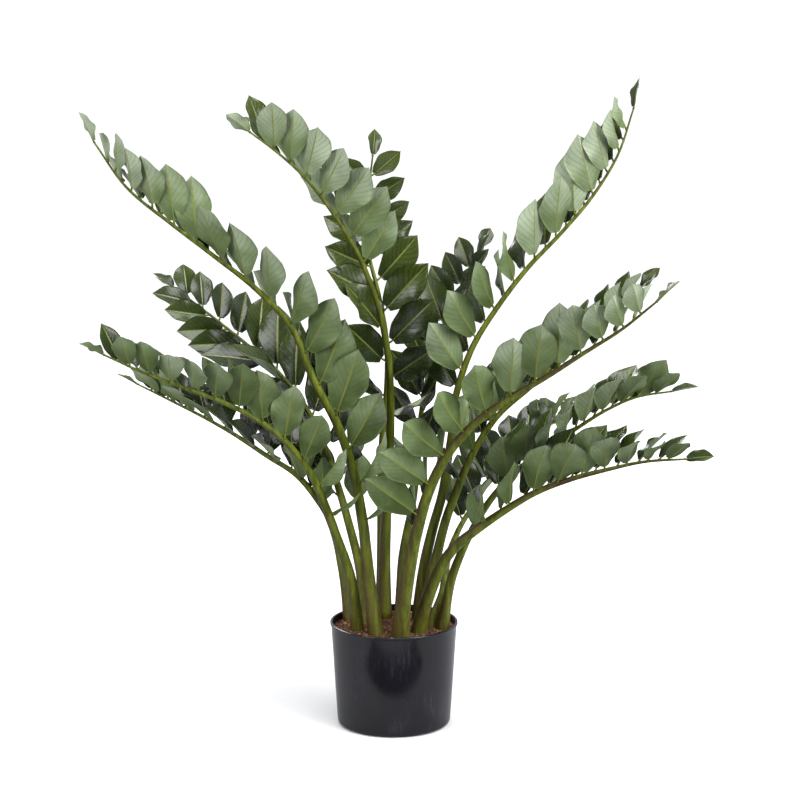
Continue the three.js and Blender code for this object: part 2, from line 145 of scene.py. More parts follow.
class Finish:
    """What every finish shares: an empty Principled material to build on."""

    def start(self, name: str) -> tuple[bpy.types.Material, bpy.types.NodeTree, bpy.types.Node]:
        """Makes the material.

        Args:
            name: The material's name.

        Returns:
            The material, its node tree and its Principled shader.
        """
        material = bpy.data.materials.new(name)
        material.use_nodes = True
        tree = material.node_tree
        tree.nodes.clear()
        shader = add_node(tree, "BsdfPrincipled")
        add_node(tree, "OutputMaterial", inputs={"Surface": shader.outputs["BSDF"]})
        return material, tree, shader

    def place(self, tree: bpy.types.NodeTree) -> dict[Axis, bpy.types.NodeSocket]:
        """Splits the place attribute.

        Args:
            tree: The node tree to add to.

        Returns:
            A socket for each of its parts.
        """
        read = add_node(tree, "Attribute", {"attribute_name": PLACE})
        split = add_node(tree, "SeparateXYZ", inputs={0: read.outputs["Vector"]})
        return {axis: split.outputs[axis.value] for axis in Axis}

    def grain(
        self, tree: bpy.types.NodeTree, size_mm: float, detail: float = 3.0, stretch: float = 1.0
    ) -> bpy.types.NodeSocket:
        """Adds noise of a real size.

        Args:
            tree: The node tree to add to.
            size_mm: The width of one blotch.
            detail: Octaves of finer noise on it.
            stretch: How many times longer than wide a blotch is, upright.

        Returns:
            The noise value's socket.
        """
        coords = add_node(tree, "TexCoord")
        scaled = add_node(
            tree, "Mapping", inputs={"Vector": coords.outputs["Object"], "Scale": (1, 1, 1 / stretch)}
        )
        found = add_node(
            tree,
            "TexNoise",
            inputs={"Vector": scaled.outputs[0], "Scale": 1000 / size_mm, "Detail": detail},
        )
        return found.outputs[0]


@dataclass(frozen=True)
class LeafFace(Finish):
    """One face of a leaflet: a waxy cuticle over green tissue, with a midrib and side veins.

    The veins are real furrows in the mesh, and the finish adds their colour and fine relief.
    """

    name: str
    shade: str
    body: str
    light: str
    vein: str
    midrib: str
    vein_share: float
    midrib_share: float
    roughness: tuple[float, float]
    coat: float
    blotch_mm: float = 34
    tip_paling: float = 0.9  # how much lighter the tissue is at the tip than at the foot

    def material(self) -> bpy.types.Material:
        """Builds the finish.

        Returns:
            The material.
        """
        material, tree, shader = self.start(self.name)
        place = self.place(tree)
        side = add_node(tree, "Math", {"operation": "ABSOLUTE"}, {0: place[Axis.ACROSS]}).outputs[0]
        back = add_node(tree, "Math", {"operation": "MULTIPLY"}, {0: side, 1: -VEIN_SLANT})
        run = add_node(tree, "Math", {"operation": "ADD"}, {0: place[Axis.ALONG], 1: back.outputs[0]})
        phase = add_node(tree, "Math", {"operation": "MULTIPLY"}, {0: run.outputs[0], 1: SIDE_VEINS})
        off = add_node(tree, "Math", {"operation": "PINGPONG"}, {0: phase.outputs[0], 1: 0.5})
        # A side vein is about 0.8 mm wide in the 9 mm between two, drawn wider to show.
        vein = add_node(tree, "MapRange", inputs={0: off.outputs[0], 1: 0.0, 2: 0.17, 3: 1.0, 4: 0.0})
        # The midrib is about 1.5 mm wide in a blade of 45 mm.
        rib = add_node(tree, "MapRange", inputs={0: side, 1: 0.015, 2: 0.07, 3: 1.0, 4: 0.0})
        blotch = self.grain(tree, self.blotch_mm, 4)
        mixed = add_node(tree, "Math", {"operation": "ADD"}, {0: blotch, 1: place[Axis.TONE]})
        paler_tip = add_node(
            tree,
            "Math",
            {"operation": "MULTIPLY_ADD"},
            {0: place[Axis.ALONG], 1: self.tip_paling, 2: mixed.outputs[0]},
        )
        # Blotch, tone with its painted shade by height, and the paling towards the tip add up to about 0 to
        # 2.8, which the factor brings to 0 to 1.
        depth = add_node(tree, "Math", {"operation": "MULTIPLY"}, {0: paler_tip.outputs[0], 1: 0.36})
        tissue = add_node(
            tree,
            "ValToRGB",
            inputs={"Fac": depth.outputs[0]},
            stops=[(0.3, self.shade), (0.5, self.body), (0.74, self.light)],
        )
        weight = add_node(tree, "Math", {"operation": "MULTIPLY"}, {0: vein.outputs[0], 1: self.vein_share})
        veined = add_node(
            tree,
            "Mix",
            {"data_type": "RGBA"},
            {"Factor": weight.outputs[0], 6: tissue.outputs[0], 7: linear(self.vein)},
        )
        ribbed = add_node(tree, "Math", {"operation": "MULTIPLY"}, {0: rib.outputs[0], 1: self.midrib_share})
        colour = add_node(
            tree,
            "Mix",
            {"data_type": "RGBA"},
            {"Factor": ribbed.outputs[0], 6: veined.outputs[2], 7: linear(self.midrib)},
        )
        # The cuticle's own pebbling is under 0.1 mm; it is drawn at 1.4 mm so that it shows.
        pebble = self.grain(tree, 1.4, 2)
        low = add_node(tree, "Math", {"operation": "MULTIPLY"}, {0: vein.outputs[0], 1: -0.9})
        height = add_node(tree, "Math", {"operation": "MULTIPLY_ADD"}, {0: pebble, 1: 0.3, 2: low.outputs[0]})
        bump = add_node(
            tree, "Bump", inputs={"Strength": 0.35, "Distance": 0.5 * MM, "Height": height.outputs[0]}
        )
        rough = add_node(
            tree,
            "MapRange",
            inputs={0: self.grain(tree, 12, 3), 1: 0.3, 2: 0.7, 3: self.roughness[0], 4: self.roughness[1]},
        )
        tree.links.new(colour.outputs[2], shader.inputs["Base Color"])
        tree.links.new(rough.outputs[0], shader.inputs["Roughness"])
        tree.links.new(bump.outputs[0], shader.inputs["Normal"])
        shader.inputs["IOR"].default_value = 1.45
        shader.inputs["Specular IOR Level"].default_value = 0.4
        shader.inputs["Coat Weight"].default_value = self.coat
        shader.inputs["Coat Roughness"].default_value = 0.22
        return material


# Upper face: dark, with a thick wax that gives the long pale glints between its sunk veins.
LEAF_UPPER = LeafFace(
    name="waxy_leaf_upper",
    shade="#1a250d",
    body="#2f3e13",
    light="#4a5820",
    vein="#141e08",
    midrib="#8a9440",
    vein_share=0.6,
    midrib_share=0.8,
    roughness=(0.2, 0.32),
    coat=0.5,
)
# Underside: thin wax and air under the skin, so it is pale, greyish and nearly matte.
LEAF_UNDER = LeafFace(
    name="matte_leaf_underside",
    shade="#4b5d2b",
    body="#76895b",
    light="#b7c5a8",
    vein="#50622f",
    midrib="#848a3c",
    vein_share=0.34,
    midrib_share=0.9,
    roughness=(0.42, 0.58),
    coat=0.0,
)


@dataclass(frozen=True)
class StemSkin(Finish):
    """The smooth, thinly waxed skin of a stem: green, with a painted brown shade on the flank turned from the
    light, and brown specks by the soil.
    """

    name: str = "satin_stem_skin"
    green: tuple[str, str, str] = ("#424c0c", "#5d6b12", "#7d8626")
    # The brown of the painted shade on the flank turned from the light.
    shaded_flank_brown: str = "#3d2410"
    speckle: str = "#6e5038"

    def material(self) -> bpy.types.Material:
        """Builds the finish.

        Returns:
            The material.
        """
        material, tree, shader = self.start(self.name)
        place = self.place(tree)
        # Fibres under the skin, in streaks about 7 mm wide and 60 mm long.
        streak = self.grain(tree, 7, 4, 9)
        dark, body, light = self.green
        skin = add_node(
            tree, "ValToRGB", inputs={"Fac": streak}, stops=[(0.3, dark), (0.5, body), (0.72, light)]
        )
        # Painted shade: the flank turned from the light is drawn brown, in clouds about 26 mm wide.
        cloud = self.grain(tree, 26, 3, 7)
        lean = add_node(tree, "Math", {"operation": "ADD"}, {0: cloud, 1: place[Axis.ACROSS]})
        shade = add_node(tree, "MapRange", inputs={0: lean.outputs[0], 1: 0.85, 2: 1.4, 3: 0.0, 4: 0.85})
        flank_shaded = add_node(
            tree,
            "Mix",
            {"data_type": "RGBA"},
            {"Factor": shade.outputs[0], 6: skin.outputs[0], 7: linear(self.shaded_flank_brown)},
        )
        # Lenticels: specks about 1 mm across, drawn at 2.6 mm so that they show. They thin out
        # over the lowest fifth of a stem.
        speck = add_node(
            tree,
            "MapRange",
            inputs={0: self.grain(tree, 2.6, 3), 1: 0.5, 2: 0.6, 3: 0.0, 4: 1.0},
        )
        low = add_node(tree, "MapRange", inputs={0: place[Axis.ALONG], 1: 0.0, 2: 0.22, 3: 1.0, 4: 0.0})
        weight = add_node(tree, "Math", {"operation": "MULTIPLY"}, {0: speck.outputs[0], 1: low.outputs[0]})
        colour = add_node(
            tree,
            "Mix",
            {"data_type": "RGBA"},
            {"Factor": weight.outputs[0], 6: flank_shaded.outputs[2], 7: linear(self.speckle)},
        )
        height = add_node(
            tree, "Math", {"operation": "MULTIPLY_ADD"}, {0: streak, 1: 0.3, 2: weight.outputs[0]}
        )
        bump = add_node(
            tree, "Bump", inputs={"Strength": 0.3, "Distance": 0.4 * MM, "Height": height.outputs[0]}
        )
        rough = add_node(
            tree, "MapRange", inputs={0: self.grain(tree, 9, 3), 1: 0.3, 2: 0.7, 3: 0.4, 4: 0.56}
        )
        tree.links.new(colour.outputs[2], shader.inputs["Base Color"])
        tree.links.new(rough.outputs[0], shader.inputs["Roughness"])
        tree.links.new(bump.outputs[0], shader.inputs["Normal"])
        shader.inputs["IOR"].default_value = 1.42
        shader.inputs["Specular IOR Level"].default_value = 0.4
        return material


@dataclass(frozen=True)
class PotPlastic(Finish):
    """Injection-moulded polypropylene: charcoal, satin, with faint rubs that catch the light."""

    name: str = "moulded_polypropylene"
    body: tuple[str, str] = ("#131318", "#1b1b22")
    rub: str = "#3c3d43"

    def material(self) -> bpy.types.Material:
        """Builds the finish.

        Returns:
            The material.
        """
        material, tree, shader = self.start(self.name)
        cloud = self.grain(tree, 55, 4, 1.6)
        dark, light = self.body
        plastic = add_node(tree, "ValToRGB", inputs={"Fac": cloud}, stops=[(0.35, dark), (0.65, light)])
        # Rubs from stacking: upright smears about 4 mm wide, denser where the cloud is light.
        smear = self.grain(tree, 4.5, 5, 6)
        both = add_node(tree, "Math", {"operation": "MULTIPLY"}, {0: smear, 1: cloud})
        rub = add_node(tree, "MapRange", inputs={0: both.outputs[0], 1: 0.3, 2: 0.46, 3: 0.0, 4: 0.5})
        colour = add_node(
            tree,
            "Mix",
            {"data_type": "RGBA"},
            {"Factor": rub.outputs[0], 6: plastic.outputs[0], 7: linear(self.rub)},
        )
        rough = add_node(
            tree, "MapRange", inputs={0: both.outputs[0], 1: 0.12, 2: 0.42, 3: 0.12, 4: 0.24}
        )
        # The mould's texture is finer than 0.1 mm; it is drawn at 1 mm.
        fine = self.grain(tree, 1.0, 2)
        bump = add_node(tree, "Bump", inputs={"Strength": 0.12, "Distance": 0.15 * MM, "Height": fine})
        tree.links.new(colour.outputs[2], shader.inputs["Base Color"])
        tree.links.new(rough.outputs[0], shader.inputs["Roughness"])
        tree.links.new(bump.outputs[0], shader.inputs["Normal"])
        shader.inputs["IOR"].default_value = 1.49
        return material


@dataclass(frozen=True)
class Crumb(Finish):
    """Something dull and crumbly, such as bark chips, coir or a tuber's skin, in several browns."""

    name: str
    browns: tuple[str, str, str]
    size_mm: float
    relief_mm: float

    def material(self) -> bpy.types.Material:
        """Builds the finish.

        Returns:
            The material.
        """
        material, tree, shader = self.start(self.name)
        place = self.place(tree)
        cloud = self.grain(tree, self.size_mm, 5)
        mixed = add_node(tree, "Math", {"operation": "MULTIPLY_ADD"}, {0: cloud, 1: 0.5, 2: place[Axis.TONE]})
        # Cloud and tone add up to about 0 to 1.5, which the factor brings to 0 to 1.
        share = add_node(tree, "Math", {"operation": "MULTIPLY"}, {0: mixed.outputs[0], 1: 0.7})
        dark, body, light = self.browns
        colour = add_node(
            tree,
            "ValToRGB",
            inputs={"Fac": share.outputs[0]},
            stops=[(0.15, dark), (0.45, body), (0.85, light)],
        )
        bump = add_node(
            tree,
            "Bump",
            inputs={
                "Strength": 0.8,
                "Distance": self.relief_mm * MM,
                "Height": self.grain(tree, self.size_mm / 3, 5),
            },
        )
        tree.links.new(colour.outputs[0], shader.inputs["Base Color"])
        tree.links.new(bump.outputs[0], shader.inputs["Normal"])
        shader.inputs["Roughness"].default_value = 0.92
        shader.inputs["IOR"].default_value = 1.4
        return material


# Bark and coir: a mix of wet and dry pieces, so its browns differ from chip to chip.
SOIL_CRUMB = Crumb("potting_soil", ("#1c100a", "#62422d", "#b08460"), size_mm=5.0, relief_mm=0.8)
# A rhizome's corky skin: tan and ringed.
TUBER_CORK = Crumb("rhizome_cork", ("#6b5233", "#9c7c50", "#c3a878"), size_mm=9.0, relief_mm=0.6)


def set_down(name: str, data: bpy.types.ID) -> bpy.types.Object:
    """Makes an object and puts it in the scene.

    Args:
        name: The object's name.
        data: Its mesh, lamp or camera.

    Returns:
        The new object.
    """
    thing = bpy.data.objects.new(name, data)
    bpy.context.collection.objects.link(thing)
    return thing


def shade_faces(piece: bpy.types.Object, smooth: bool) -> None:
    """Shades a whole piece smooth or flat."""
    piece.data.polygons.foreach_set("use_smooth", [smooth] * len(piece.data.polygons))


@dataclass
class Skin:
    """A mesh in the making: points with their place, and faces with their finish."""

    points: list[Array] = field(default_factory=list)
    places: list[Array] = field(default_factory=list)
    faces: list[tuple[int, ...]] = field(default_factory=list)
    slots: list[int] = field(default_factory=list)
    count: int = 0

    def add(
        self, points: Array, places: Array, faces: Sequence[tuple[int, ...]], slots: Sequence[int]
    ) -> None:
        """Adds a patch.

        Args:
            points: Its points, one row each.
            places: Their place attribute.
            faces: Corner numbers within the patch.
            slots: Each face's finish.
        """
        self.points.append(points)
        self.places.append(places)
        self.faces.extend(tuple(c + self.count for c in face) for face in faces)
        self.slots.extend(slots)
        self.count += len(points)

    def build(self, name: str, finishes: Sequence[bpy.types.Material]) -> bpy.types.Object:
        """Makes the object.

        Args:
            name: The piece's name.
            finishes: The materials, by slot.

        Returns:
            The new object, shaded smooth.
        """
        mesh = bpy.data.meshes.new(name)
        mesh.from_pydata(np.concatenate(self.points).tolist(), [], self.faces)
        for finish in finishes:
            mesh.materials.append(finish)
        mesh.polygons.foreach_set("material_index", self.slots)
        attribute = mesh.attributes.new(PLACE, "FLOAT_VECTOR", "POINT")
        attribute.data.foreach_set("vector", np.concatenate(self.places).astype(np.float32).ravel())
        mesh.update()
        piece = set_down(name, mesh)
        shade_faces(piece, smooth=True)
        return piece


def grid_faces(rows: int, columns: int, flipped: bool = False, closed: bool = False) -> list[tuple[int, ...]]:
    """Numbers the faces of a grid of points.

    Args:
        rows: Points one way.
        columns: Points the other way.
        flipped: True to turn the faces round.
        closed: True if the last column joins the first.

    Returns:
        The faces' corners.
    """
    faces = []
    for r in range(rows - 1):
        for c in range(columns if closed else columns - 1):
            d = (c + 1) % columns
            corners = (r * columns + c, r * columns + d, (r + 1) * columns + d, (r + 1) * columns + c)
            faces.append(corners[::-1] if flipped else corners)
    return faces


def tube_faces(rings: int, sides: int) -> list[tuple[int, ...]]:
    """Numbers the faces of a tube of rings, closed at both ends.

    Args:
        rings: The number of rings.
        sides: The points of each ring.

    Returns:
        The faces' corners.
    """
    last = (rings - 1) * sides
    caps = [tuple(range(sides - 1, -1, -1)), tuple(range(last, last + sides))]
    return grid_faces(rings, sides, closed=True) + caps


class PackedNode:
    """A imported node's points, welded, with each one's neighbours."""

    def __init__(self, node: bpy.types.Object) -> None:
        """Reads the node.

        Args:
            node: The frame's object.
        """
        mesh = node.data
        found = np.empty(len(mesh.vertices) * 3, np.float32)
        mesh.vertices.foreach_get("co", found)
        self.points, back = np.unique(found.reshape(-1, 3).round(6), axis=0, return_inverse=True)
        self.points = self.points.astype(float)
        back = back.reshape(-1)
        self.beside: list[set[int]] = [set() for _ in self.points]
        for edge in mesh.edges:
            a, b = (int(back[v]) for v in edge.vertices)
            if a != b:
                self.beside[a].add(b)
                self.beside[b].add(a)


@dataclass
class Blade:
    """Where one leaflet of the frame grows: its foot, directions and length."""

    foot: Array
    towards: Array
    normal: Array
    length: float
    half_width: float

    @property
    def across(self) -> Array:
        """The direction from midrib to margin."""
        return np.cross(self.towards, self.normal)


def unit(vector: Array) -> Array:
    """Scales a vector to length 1."""
    return vector / np.linalg.norm(vector)


def read_blades(node: PackedNode) -> list[Blade]:
    """Finds the leaflets of a row. Each ends in a tip with four neighbours: two margins, two midribs.

    A bare foot can have four too, but a blade is thinner there than before its tip.

    Args:
        node: The row.

    Returns:
        Its leaflets, from the root of the row to its end.
    """
    last_ring, last_width = 0.76, 0.8  # where a packed blade's last ring stands, and its width there
    droop = 0.06  # how far a packed blade's tip bends back
    thinnest, thickest = 1.4 * MM, 1.8 * MM  # round the last ring's 1.6 mm
    shortest, longest = 0.5, 0.6  # from the last ring to the tip, as shares of the ring's width
    blades = []
    for tip, beside in enumerate(node.beside):
        if len(beside) != 4:
            continue
        ring = sorted(beside)
        pairs = [(a, b) for i, a in enumerate(ring) for b in ring[i + 1 :]]
        rib = min(pairs, key=lambda p: np.linalg.norm(node.points[p[0]] - node.points[p[1]]))
        margin = [p for p in ring if p not in rib]
        thick = node.points[rib[0]] - node.points[rib[1]]
        broad = node.points[margin[0]] - node.points[margin[1]]
        middle = node.points[list(rib)].mean(axis=0)
        width = float(np.linalg.norm(broad))
        rest = node.points[tip] - middle
        reach = np.linalg.norm(rest) / width
        if not (thinnest < np.linalg.norm(thick) < thickest and shortest < reach < longest):
            continue
        normal = unit(thick)
        if normal @ (node.points[margin].mean(axis=0) - middle) < 0:
            normal = -normal
        run = (rest - normal * (rest @ normal)) / (1 - last_ring)
        length = float(np.linalg.norm(run))
        foot = node.points[tip] - run + normal * droop * length
        blades.append(Blade(foot, unit(run), normal, length, width / 2 / last_width))
    return blades


@dataclass
class Spine:
    """The line and thickness of a stem, from its foot to its tip."""

    points: Array
    radii: Array

    @classmethod
    def read(cls, node: PackedNode, sides: int = 8) -> Spine:
        """Follows a packed stem ring by ring, from the middle of its tip.

        Args:
            node: The stem.
            sides: The number of its sides.

        Returns:
            The spine.
        """
        reach = [
            max(np.linalg.norm(node.points[b] - node.points[i]) for b in beside)
            if len(beside) == sides
            else math.inf
            for i, beside in enumerate(node.beside)
        ]
        start = int(np.argmin(reach))
        seen, ring = {start}, node.beside[start]
        centres, radii = [], []
        while len(ring) == sides:
            corners = node.points[sorted(ring)]
            centres.append(corners.mean(axis=0))
            radii.append(np.linalg.norm(corners - centres[-1], axis=1).mean())
            seen |= ring
            ring = {b for corner in ring for b in node.beside[corner]} - seen
        return cls(np.array(centres[::-1]), np.array(radii[::-1]))

    def smooth(self, between: int) -> Spine:
        """Rounds the line off with a cubic through its points.

        Args:
            between: How many points each stretch gets.

        Returns:
            The finer spine.
        """
        data = np.column_stack([self.points, self.radii])
        data = np.vstack([2 * data[0] - data[1], data, 2 * data[-1] - data[-2]])
        fine = []
        for a, b, c, d in zip(data, data[1:], data[2:], data[3:]):
            square, cube = 2 * a - 5 * b + 4 * c - d, 3 * b - a - 3 * c + d
            for t in np.arange(between) / between:
                fine.append(0.5 * (2 * b + (c - a) * t + square * t**2 + cube * t**3))
        fine.append(data[-2])
        found = np.array(fine)
        return Spine(found[:, :3], found[:, 3])

    def nearest(self, point: Array) -> tuple[Array, float]:
        """Finds the spine's closest place.

        Args:
            point: Any point.

        Returns:
            The place and the stem's radius there.
        """
        i = int(np.argmin(np.linalg.norm(self.points - point, axis=1)))
        return self.points[i], float(self.radii[i])


@dataclass
class Leaflet:
    """The shape of one leaflet: a pointed, slightly obovate blade with sunk veins and a short stalk."""

    rows: int = 40
    columns: tuple[float, ...] = (1, 0.86, 0.66, 0.46, 0.27, 0.1, 0, -0.1, -0.27, -0.46, -0.66, -0.86, -1)
    thickness: float = 0.9 * MM
    rib: float = 1.5 * MM  # how far the midrib stands out below
    groove: float = 0.8 * MM  # how far it is sunk above
    rib_width: float = 1.1 * MM
    quilt: float = 1.5 * MM  # how far the tissue swells between side veins
    fold: float = 0.27  # how far the margins rise, as a share of the half width
    wave: float = 0.13  # how far a margin waves up and down, as a share of the half width
    scallop: float = 0.025  # how far it waves in and out, as a share of the half width
    twist: float = 0.26  # the most that the tip's half width turns out of the flat
    droop: float = 0.06  # how far the tip bends back, as a share of the length
    hang: float = 0.07  # how much further it bends on the lowest leaflets
    sweep: float = 0.03  # the most that the tip swings sideways, as a share of the length
    uneven: float = 0.07  # the most that one half is wider than the mean
    hangs_from: float = 0.62  # the height below which leaflets hang more
    hangs_over: float = 0.22  # how far below that they hang most
    shade_mid_height: float = 0.66  # the height where the painted shade by height is neither darker nor lighter
    shade_height_span: float = 0.28  # how far above and below that the painted shade goes on changing: lower leaflets are drawn darker, higher ones paler
    stalk: float = 1.6 * MM  # radius
    stalk_sides: int = 8
    rooted: float = 1.2 * MM  # how deep the stalk starts in the stem
    bare: float = 0.06  # the share of the length that is stalk

    def outline(self, along: Array, fullest: Array) -> Array:
        """Gives the half width, as a share of the widest. The last line brings the widest to about 1.

        Args:
            along: Shares of the length.
            fullest: How far beyond the middle each half is widest, from -1 to 1.

        Returns:
            The half widths there.
        """
        turn = 2.5 + 0.5 * fullest
        shape = along**0.75 * (1 - along**turn) ** 1.2
        return shape / (0.472 + 0.046 * fullest)

    def heights(
        self, along: Array, across: Array, half: Array, length: float, lowness: float, quirk: Array
    ) -> Array:
        """Shapes the blade's middle surface: fold, bend, twist, wavy margin and swollen tissue.

        Args:
            along: Shares of the length, as a column.
            across: Shares of the half width, as a row.
            half: The half widths.
            length: The leaflet's length.
            lowness: 1 for an old leaflet near the soil, which hangs more, and 0 for one at the top.
            quirk: Its own differences, from -1 to 1.

        Returns:
            How far each point stands above the flat.
        """
        side = np.abs(across)
        trough = half * ((self.fold + 0.09 * quirk[0]) * side + (0.05 + 0.06 * quirk[1]) * side**2)
        bend = (self.droop + 0.04 * quirk[2] + self.hang * lowness) * length * along**2
        twist = self.twist * quirk[3] * along * across * half
        phase = 3 * (quirk[4] + (across > 0) * quirk[5])
        ripple = np.sin((1.7 + 0.5 * quirk[6]) * 2 * math.pi * along + phase)
        wave = self.wave * (1 + 0.8 * quirk[7]) * half * ripple * side**2.2
        run = SIDE_VEINS * (along - VEIN_SLANT * side)
        pad = np.abs(np.sin(math.pi * run)) ** 0.7 * side**0.6 * (1 - side**5)
        pad = pad * np.minimum(1, half / (12 * MM))
        return trough - bend + twist + wave + self.quilt * pad

    def grow(self, skin: Skin, blade: Blade, spine: Spine, seed: int) -> None:
        """Adds the leaflet to a skin.

        Args:
            skin: The mesh in the making. Slot 0 is the upper face, 1 the underside and 2 the stalk.
            blade: Where it grows.
            spine: The stem it grows from.
            seed: What its small differences come from.
        """
        quirk = np.random.default_rng(seed).uniform(-1, 1, 12)
        # The rows stand closer together towards the tip.
        step = np.linspace(0, 1, self.rows)
        closing = 0.55 * step + 0.45 * np.sin(step * math.pi / 2)
        along = (self.bare + (1 - self.bare) * closing)[:, None]
        across = np.array(self.columns)[None, :]
        uneven = 1 + self.uneven * quirk[8] * np.sign(across)
        scallop = 1 + self.scallop * np.sin(19 * along + 9 * quirk[4])
        half = self.outline(along, quirk[9] * 0.5 + 0.5 * np.sign(across) * quirk[10])
        half = half * blade.half_width * uneven * scallop
        half = np.maximum(half, 0) + 0.4 * MM * (1 - along) + 0.12 * MM
        lowness = float(np.clip((self.hangs_from - blade.foot[2]) / self.hangs_over, 0, 1))
        height = self.heights(along, across, half, blade.length, lowness, quirk)
        rib = np.exp(-((across * half / self.rib_width) ** 2)) * (1 - 0.75 * along)
        solid = self.thickness * (1 - 0.5 * np.abs(across) ** 3) * np.minimum(1, 0.35 + 3 * (1 - along))
        sideways = across * half + self.sweep * quirk[11] * blade.length * along**2
        shape = (self.rows, len(self.columns))
        place = np.empty((*shape, 3))
        # Painted shade and light by height: a leaflet low on the plant is drawn darker and one high up paler,
        # on top of its own tone.
        painted_height_shade = float(np.clip((blade.foot[2] - self.shade_mid_height) / self.shade_height_span, -1, 1))
        tone = 0.5 + 0.3 * quirk[0] + 0.38 * painted_height_shade
        place[..., 0], place[..., 1], place[..., 2] = along, across, tone
        base = (
            blade.foot
            + np.broadcast_to(along, shape).reshape(-1, 1) * blade.length * blade.towards
            + sideways.reshape(-1, 1) * blade.across
        )
        upper = base + (height + solid / 2 - self.groove * rib).reshape(-1, 1) * blade.normal
        lower = base + (height - solid / 2 - self.rib * rib).reshape(-1, 1) * blade.normal
        size = self.rows * len(self.columns)
        top = grid_faces(*shape, flipped=True)
        under = [tuple(size + c for c in face) for face in grid_faces(*shape)]
        edge = self.margin()
        rim = [(a, b, size + b, size + a) for a, b in zip(edge, edge[1:] + edge[:1])]
        slots = [0] * len(top) + [1] * (len(under) + len(rim))
        both = np.concatenate([place.reshape(-1, 3)] * 2)
        skin.add(np.vstack([upper, lower]), both, top + under + rim, slots)
        self.add_stalk(skin, blade, spine, quirk[0])

    def margin(self) -> list[int]:
        """Lists the grid's rim.

        Returns:
            The points round the blade, in order.
        """
        n = len(self.columns)
        last = self.rows - 1
        right = [r * n for r in range(last)]
        end = [last * n + c for c in range(n - 1)]
        left = [r * n + n - 1 for r in range(last, 0, -1)]
        foot = list(range(n - 1, 0, -1))
        return right + end + left + foot

    def add_stalk(self, skin: Skin, blade: Blade, spine: Spine, tone: float) -> None:
        """Adds the short stalk between stem and blade.

        Args:
            skin: The mesh in the making.
            blade: Where the leaflet grows.
            spine: The stem it grows from.
            tone: How light the leaflet is, from -1 to 1.
        """
        near, radius = spine.nearest(blade.foot)
        out = unit(blade.foot - near)
        start = near + out * max(0.0, radius - self.rooted)
        knee = blade.foot + 0.012 * blade.length * blade.towards
        end = blade.foot + 0.11 * blade.length * blade.towards - 0.5 * MM * blade.normal
        # How far along each ring stands, and how thick it is: swollen where it leaves the stem.
        swelling = {0.0: 1.5, 0.3: 1.25, 0.6: 1.0, 0.85: 0.85, 1.0: 0.35}
        rings, places = [], []
        for t, size in swelling.items():
            centre = (1 - t) ** 2 * start + 2 * t * (1 - t) * knee + t**2 * end
            for k in range(self.stalk_sides):
                a = 2 * math.pi * k / self.stalk_sides
                arm = math.cos(a) * blade.across + math.sin(a) * blade.normal
                rings.append(centre + arm * self.stalk * size)
                places.append((0.4, 0.25, 0.5 + 0.3 * tone))
        faces = tube_faces(len(swelling), self.stalk_sides)
        skin.add(np.array(rings), np.array(places), faces, [2] * len(faces))


@dataclass
class Stem:
    """The shape of one stem: round and slightly lumpy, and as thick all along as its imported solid."""

    sides: int = 28
    between: int = 7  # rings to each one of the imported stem
    inside: float = 0.975  # its mean radius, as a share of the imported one

    def grow(self, skin: Skin, spine: Spine, soil_top: float, seed: int) -> None:
        """Adds the stem to a skin.

        Args:
            skin: The mesh in the making.
            spine: Its line, still coarse.
            soil_top: The height where it leaves the soil.
            seed: What its small differences come from.
        """
        fine = spine.smooth(self.between)
        chance = np.random.default_rng(seed)
        phase = chance.uniform(0, 2 * math.pi, 3)
        points, places = [], []
        runs = np.r_[0, np.cumsum(np.linalg.norm(np.diff(fine.points, axis=0), axis=1))]
        buried = runs[int(np.argmax(fine.points[:, 2] > soil_top))]
        frames = self.frames(fine.points)
        for i, (centre, radius) in enumerate(zip(fine.points, fine.radii)):
            brown_shaded, beside = frames[i]
            grown = (runs[i] - buried) / (runs[-1] - buried)
            for k in range(self.sides):
                a = 2 * math.pi * k / self.sides
                lump = 1 + 0.022 * math.sin(2 * a + phase[0] + 9 * grown) + 0.012 * math.sin(3 * a + phase[1])
                lump += 0.015 * math.sin(31 * grown + phase[2])
                arm = math.cos(a) * brown_shaded + math.sin(a) * beside
                points.append(centre + arm * radius * self.inside * lump)
                # The second part is highest on the flank turned from the light, where the finish paints its
                # brown shade.
                places.append((max(0.0, grown), 0.5 + 0.45 * math.cos(a), chance.uniform(0.4, 0.6)))
        faces = tube_faces(len(fine.points), self.sides)
        skin.add(np.array(points), np.array(places), faces, [0] * len(faces))

    def frames(self, points: Array) -> list[tuple[Array, Array]]:
        """Gives each place's directions square to the line.

        Args:
            points: The line.

        Returns:
            For each point the direction of the flank painted in brown shade, and the one beside it.
        """
        found = []
        for tangent in np.gradient(points, axis=0):
            tangent = unit(tangent)
            brown_shaded = unit(BROWN_SHADED_SIDE - tangent * (BROWN_SHADED_SIDE @ tangent))
            found.append((brown_shaded, np.cross(tangent, brown_shaded)))
        return found


